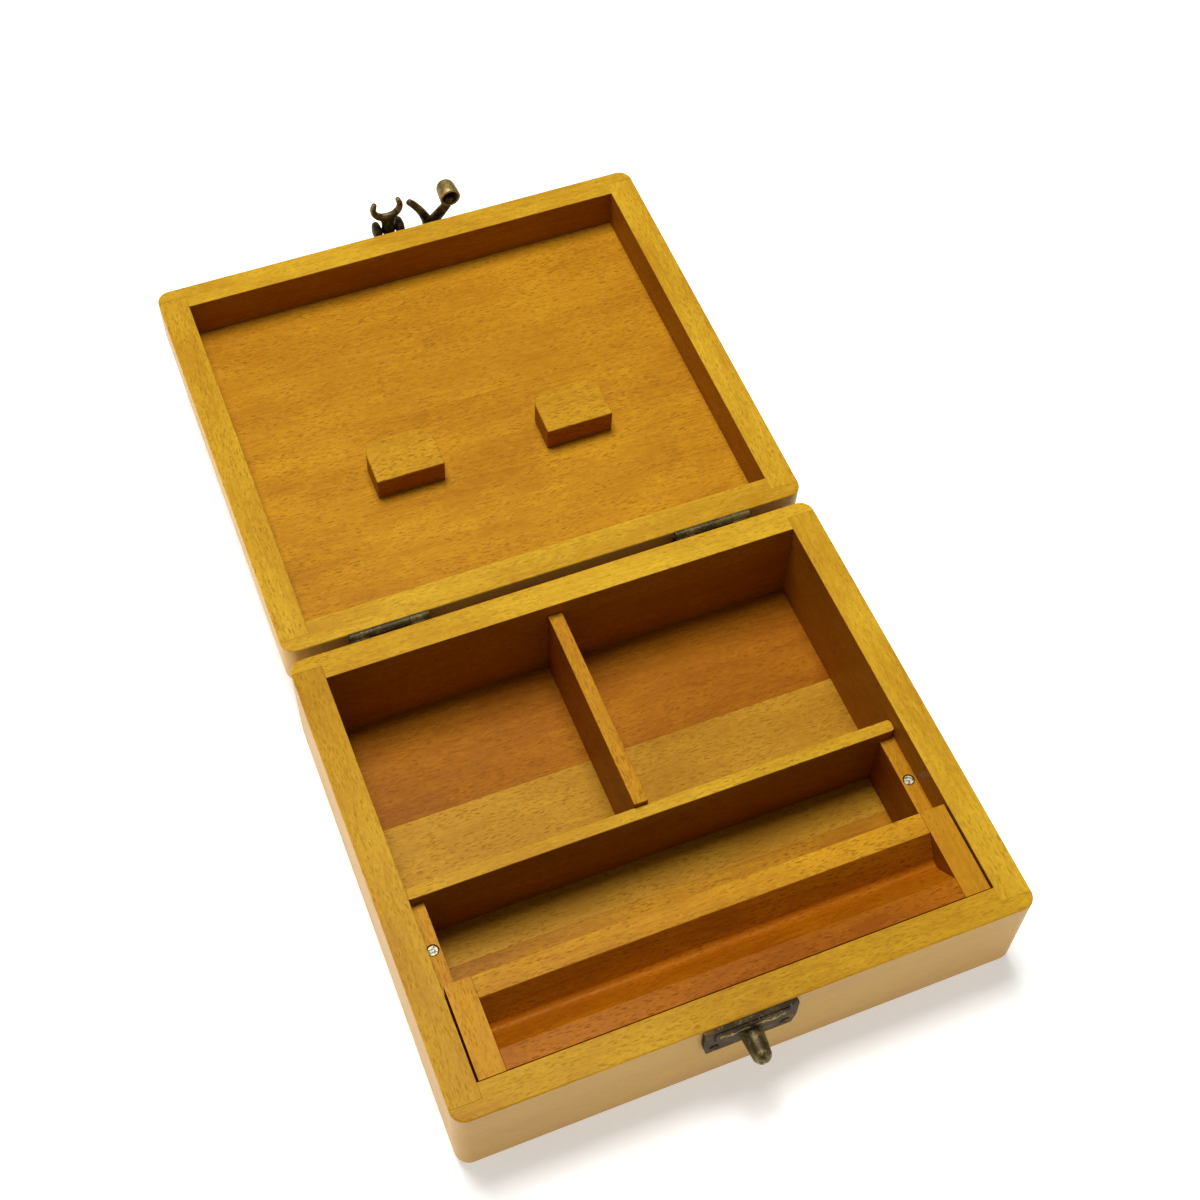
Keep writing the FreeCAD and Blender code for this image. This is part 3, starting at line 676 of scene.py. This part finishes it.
# two lugs hold the fork's pin, and each runs back into the plate through its root
LUG_RADIUS, LUG_THICK, LUG_GAP = 3.1 * MM, 3.1 * MM, 4.7 * MM
PLATE_HEIGHT = 11.8 * MM
PLATE_BELOW_PIN = 1.4 * MM
LUG_ROOT = (0.46 * LUG_THICK, 2.4 * MM, 2.3 * MM)
LUG_ROOT_OUT, LUG_ROOT_UP = 0.4 * MM, 1.0 * MM
# the boss that carries the horn: radius and distance from the plate
BOSS = ((2.6 * MM, 0.0), (2.6 * MM, 1.6 * MM), (2.4 * MM, 1.8 * MM))

latch_low, latch_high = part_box("latch_plate")
plate_middle = ((latch_low.x + latch_high.x) / 2, wall_face - PLATE_THICK / 2,
                PIVOT[2] - PLATE_BELOW_PIN + PLATE_HEIGHT / 2)
plate_half = ((latch_high.x - latch_low.x) / 2, PLATE_THICK / 2, PLATE_HEIGHT / 2)
castings = [cushion(plate_middle, plate_half, 9.0, 90, 120)]
for side in (-1, 1):
    lug_x = PIVOT[0] + side * (LUG_GAP + LUG_THICK) / 2
    castings.append(cushion((lug_x, PIVOT[1], PIVOT[2]),
                            (LUG_THICK / 2, LUG_RADIUS, LUG_RADIUS), 2.6))
    root_y = (PIVOT[1] + wall_face) / 2 - LUG_ROOT_OUT
    castings.append(cushion((lug_x, root_y, PIVOT[2] + LUG_ROOT_UP), LUG_ROOT, 3.5))
castings.append(turned(BOSS, (ARM[0], plate_face, ARM[2]), OUTWARD))
latch_piece = made("latch_plate_casting", [turned_back(c) for c in castings], plate_cast, "lid",
                   ["latch_plate"])
fused(latch_piece, 0.2 * MM, 3)

# ----------------------------------------------------------------- the fork

# columns: across, up, half width, half thickness, from the fork's pin
prongs = [(-3.85, -13.15, 0.78, 0.80), (-4.30, -11.9, 0.92, 0.95), (-4.62, -10.3, 1.02, 1.05),
          (-4.15, -8.3, 1.12, 1.10), (-2.50, -6.55, 1.30, 1.10), (0.0, -5.85, 1.45, 1.10),
          (2.50, -6.55, 1.30, 1.10), (4.15, -8.3, 1.12, 1.10), (4.62, -10.3, 1.02, 1.05),
          (4.30, -11.9, 0.92, 0.95), (3.85, -13.15, 0.78, 0.80)]
line, size = latch_line(PIVOT, prongs, 120)
bow = carried(line, size[:, 0], size[:, 1], OUTWARD, 2.3, ends=0.035)
shank = [(0.0, -6.9, 3.0, 1.0), (0.0, -5.6, 2.9, 1.12), (0.0, -4.2, 2.25, 1.15),
         (0.0, -2.4, 2.05, 1.35), (0.0, 0.0, 2.1, 1.95), (0.0, 1.9, 2.1, 1.2)]
line, size = latch_line(PIVOT, shank, 50)
neck = carried(line, size[:, 0], size[:, 1], OUTWARD, 3.2, ends=0.10)
fork = made("fork_casting", [turned_back(bow), turned_back(neck)], cast, "fork",
            ["latch_fork"])
fused(fork, 0.13 * MM, 4)

# ----------------------------------------------------------------- the horn

HALF_THICK = 1.1 * MM
HORN = ARM + OUTWARD * HALF_THICK                            # middle of the horn's thickness
# columns: across, up, half width, half thickness, from there
horn = [(-7.2, -13.3, 1.05, 0.95), (-5.6, -11.5, 1.25, 1.05), (-3.7, -8.7, 1.35, 1.10),
        (-2.0, -5.3, 1.55, 1.10), (-0.9, -2.4, 1.85, 1.10), (0.0, 0.4, 2.3, 1.05),
        (1.3, 1.2, 2.2, 1.05)]
line, size = latch_line(HORN, horn, 90)
tail = carried(line, size[:, 0], size[:, 1], OUTWARD, 2.4, ends=0.05)
limb = [(-1.2, 0.9, 2.1, 1.05), (0.3, 0.0, 2.3, 1.08), (2.2, -2.3, 2.25, 1.10),
        (4.5, -4.9, 1.95, 1.10), (6.4, -7.2, 1.65, 1.10), (7.2, -9.4, 1.5, 1.15),
        (7.35, -10.6, 1.3, 1.2)]
line, size = latch_line(HORN, limb, 70)
branch = carried(line, size[:, 0], size[:, 1], OUTWARD, 2.4, ends=0.07)

horn_piece = made("horn_casting", [turned_back(tail), turned_back(branch)], cast, "arm",
                  ["latch_arm"])
fused(horn_piece, 0.14 * MM, 4)

# the thimble's profile: radius and distance from its mouth, in millimetres
quarter = np.linspace(0, RIGHT_ANGLE, 14)
well = np.stack([2.5 * np.sin(quarter), 4.4 + 1.8 * np.cos(quarter)], -1)
mouth = np.array([(2.72, 0.35), (2.84, 0.05), (3.35, 0.0), (3.5, 0.25), (3.46, 2.0)])
dome = np.stack([3.2 * np.cos(quarter), 4.9 + 2.9 * np.sin(quarter)], -1)
CUP_LENGTH = 7.8 * MM
cup_low, cup_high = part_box("latch_cup")
cup_middle = turned_back((np.array(cup_low) + np.array(cup_high)) / 2, OPEN)
thimble = turned(np.concatenate([well, mouth, dome]) * MM,
                 cup_middle - OUTWARD * CUP_LENGTH / 2, OUTWARD)
made("thimble_cup", [turned_back(thimble)], khaki, "arm", ["latch_cup"])

# ------------------------------------------------------------------- the peg

plate_low, plate_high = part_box("catch_plate")
peg_low, peg_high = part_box("catch_peg")
peg_root = ((peg_low.x + peg_high.x) / 2, plate_face, (peg_low.z + peg_high.z) / 2)
peg_size = ((peg_high.x - peg_low.x) / 2, plate_face - peg_low.y)
# columns: share of the peg's radius, and share of its length
peg_side = [(0.0, 0.0), (0.5, 0.0), (0.99, 0.0), (1.0, 0.02), (0.97, 0.08), (0.95, 0.18),
            (0.91, 0.36), (0.87, 0.52), (0.83, 0.66)]
quarter = np.linspace(0, RIGHT_ANGLE, 16)
peg_tip = np.stack([0.815 * np.cos(quarter), 0.72 + 0.28 * np.sin(quarter)], -1)
peg = turned(np.concatenate([peg_side, peg_tip]) * peg_size, peg_root, OUTWARD)
made("peg_casting", [peg], cast, "base", ["catch_peg"])

# ----------------------------------------------------- scrolls on the lip

LIP_BELOW, RAISED = 2.4 * MM, 0.03 * MM      # from the plate's top, and inwards from its face
# the stem on either side, in millimetres: a sine wave that swells towards its end
WAVE_START, WAVE_LENGTH, WAVE_HEIGHT, HALF_WAVES = 0.8, 8.6, 1.05, 2.6
# each leaf: where it starts, how high its middle is, and how far it falls, in millimetres
LEAVES = ((2.3, 0.1, 1.35), (5.4, -0.1, -1.35), (8.3, 0.1, 1.35))
LEAF_LENGTH = 0.9
STEM_HALF = (0.30 * MM, 0.22 * MM)
LEAF_HALF = (0.40 * MM, 0.20 * MM)

lip_middle = np.array((peg_root[0], plate_low.y + RAISED, plate_high.z - LIP_BELOW))
t = np.linspace(0, 1, 160)
scrolls = []
for side in (-1, 1):
    x = side * (WAVE_START + WAVE_LENGTH * t)
    z = WAVE_HEIGHT * np.sin(t * HALF_WAVES * math.pi) * (0.55 + 0.45 * t)
    wave = lip_middle + np.stack([x, 0 * t, z], -1) * MM
    scrolls.append(carried(wave, *STEM_HALF, OUTWARD, 2.0, 12))
    for start, up, lean in LEAVES:
        leaf = np.stack([side * (start + LEAF_LENGTH * t), 0 * t, up - lean * (t - 0.5)], -1)
        scrolls.append(carried(lip_middle + leaf * MM, *LEAF_HALF, OUTWARD, 2.0, 12, ends=0.5))
made("catch_scrolls", scrolls, khaki, "base")

# ------------------------------------------------------------------- screws

PITCH = 15.2 * MM             # between one leaf's two screws
LEAF_INSIDE = 1.5 * MM        # a hinge leaf's inner face in from the hinge's axis
LEAF_THICK = 0.9 * MM
SCREW_UP = 7.4 * MM           # a leaf's screws from the hinge's axis
LATCH_SCREW_UP = 7.4 * MM     # the latch's screws above the fork's pin


def heads(places, y, z, out):
    """Heads in a row: places are each head's x and the turn of its slot."""
    return [screw_head((x, y, z), out, turn) for x, turn in places]


low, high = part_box("catch_screws")
row = heads(((low.x + HEAD, 0.5), (high.x - HEAD, -0.7)), plate_face, (low.z + high.z) / 2,
            OUTWARD)
made("catch_screw_heads", row, plate_cast, "base", ["catch_screws"])

low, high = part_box("hinge_base_screws")
row = heads(((low.x + HEAD, 0.3), (low.x + HEAD + PITCH, 1.2),
             (high.x - HEAD - PITCH, -0.6), (high.x - HEAD, 0.9)),
            high.y - RISE, (low.z + high.z) / 2, BACKWARD)
made("hinge_base_screw_heads", row, rolled, "base", ["hinge_base_screws"])

low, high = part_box("hinge_lid_screws")
row = heads(((low.x + HEAD, 0.8), (low.x + HEAD + PITCH, -0.3),
             (high.x - HEAD - PITCH, 1.4), (high.x - HEAD, 0.1)),
            HINGE[1] - LEAF_INSIDE + LEAF_THICK, HINGE[2] + SCREW_UP, BACKWARD)
made("hinge_lid_screw_heads", [turned_back(head) for head in row], rolled, "lid",
     ["hinge_lid_screws"])

low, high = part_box("latch_screws")
row = heads(((low.x + HEAD, 0.4), (high.x - HEAD, -0.9)), plate_face,
            PIVOT[2] + LATCH_SCREW_UP, OUTWARD)
made("latch_screw_heads", [turned_back(head) for head in row], plate_cast, "lid",
     ["latch_screws"])

# ------------------------------------------------------- floor, light, camera

FLOOR_REACH = 20.0
FLOOR_BELOW = 0.2 * MM
floor_mesh = bpy.data.meshes.new("floor")
corners = [(x * FLOOR_REACH, y * FLOOR_REACH, 0) for x, y in ((-1, -1), (1, -1), (1, 1), (-1, 1))]
floor_mesh.from_pydata(corners, [], [(0, 1, 2, 3)])
floor = bpy.data.objects.new("floor", floor_mesh)
bpy.context.scene.collection.objects.link(floor)
floor.location.z = cad_low.z - FLOOR_BELOW
g = Graph("paper_floor")
mottle = g.noise(g.add("ShaderNodeTexCoord").out("Object"), 6.0, 2.0)
floor_mesh.materials.append(g.surface(
    Base_Color=g.mix(mottle, (0.86, 0.86, 0.85, 1.0), (0.90, 0.90, 0.89, 1.0)), Roughness=0.75,
    Emission_Color=(1.0, 1.0, 0.99, 1.0), Emission_Strength=0.4))

world = bpy.data.worlds.new("studio")
world.use_nodes = True
world.node_tree.nodes["Background"].inputs["Color"].default_value = (1.0, 0.995, 0.98, 1.0)
world.node_tree.nodes["Background"].inputs["Strength"].default_value = 0.19
bpy.context.scene.world = world


def softbox(name, place, aim, width, height, power):
    """A rectangular light that faces aim."""
    data = bpy.data.lights.new(name, "AREA")
    data.shape = "RECTANGLE"
    data.size, data.size_y, data.energy = width, height, power
    lamp = bpy.data.objects.new(name, data)
    lamp.location = place
    lamp.rotation_mode = "QUATERNION"
    lamp.rotation_quaternion = (Vector(aim) - Vector(place)).to_track_quat("-Z", "Y")
    lamp.visible_camera = False
    bpy.context.scene.collection.objects.link(lamp)


MIDDLE = (0.0, 0.07, 0.02)
softbox("top_light", (-0.06, 0.42, 1.5), MIDDLE, 0.6, 0.6, 26.5)
softbox("left_strip", (-0.36, 0.08, 0.017), (0.0, 0.08, 0.017), 0.5, 0.03, 0.6)
softbox("front_strip", (0.10, -0.45, 0.017), (0.05, 0.0, 0.017), 0.5, 0.03, 0.5)

camera = bpy.data.objects.new("camera", bpy.data.cameras.new("camera"))
camera.data.lens = 55.88
camera.data.sensor_width = 36.0
camera.data.clip_start, camera.data.clip_end = 0.02, 20.0
camera.location = (-0.1133, -0.2173, 0.4921)
camera_aim = Vector((0.0099, 0.0616, 0.0343))
camera_roll = math.radians(2.4)
camera.rotation_mode = "QUATERNION"
camera.rotation_quaternion = ((camera_aim - camera.location).to_track_quat("-Z", "Y")
                              @ Quaternion((0.0, 0.0, 1.0), camera_roll))
bpy.context.scene.collection.objects.link(camera)
bpy.context.scene.camera = camera
bpy.context.scene.view_settings.view_transform = "Standard"
bpy.context.scene.view_settings.look = "None"
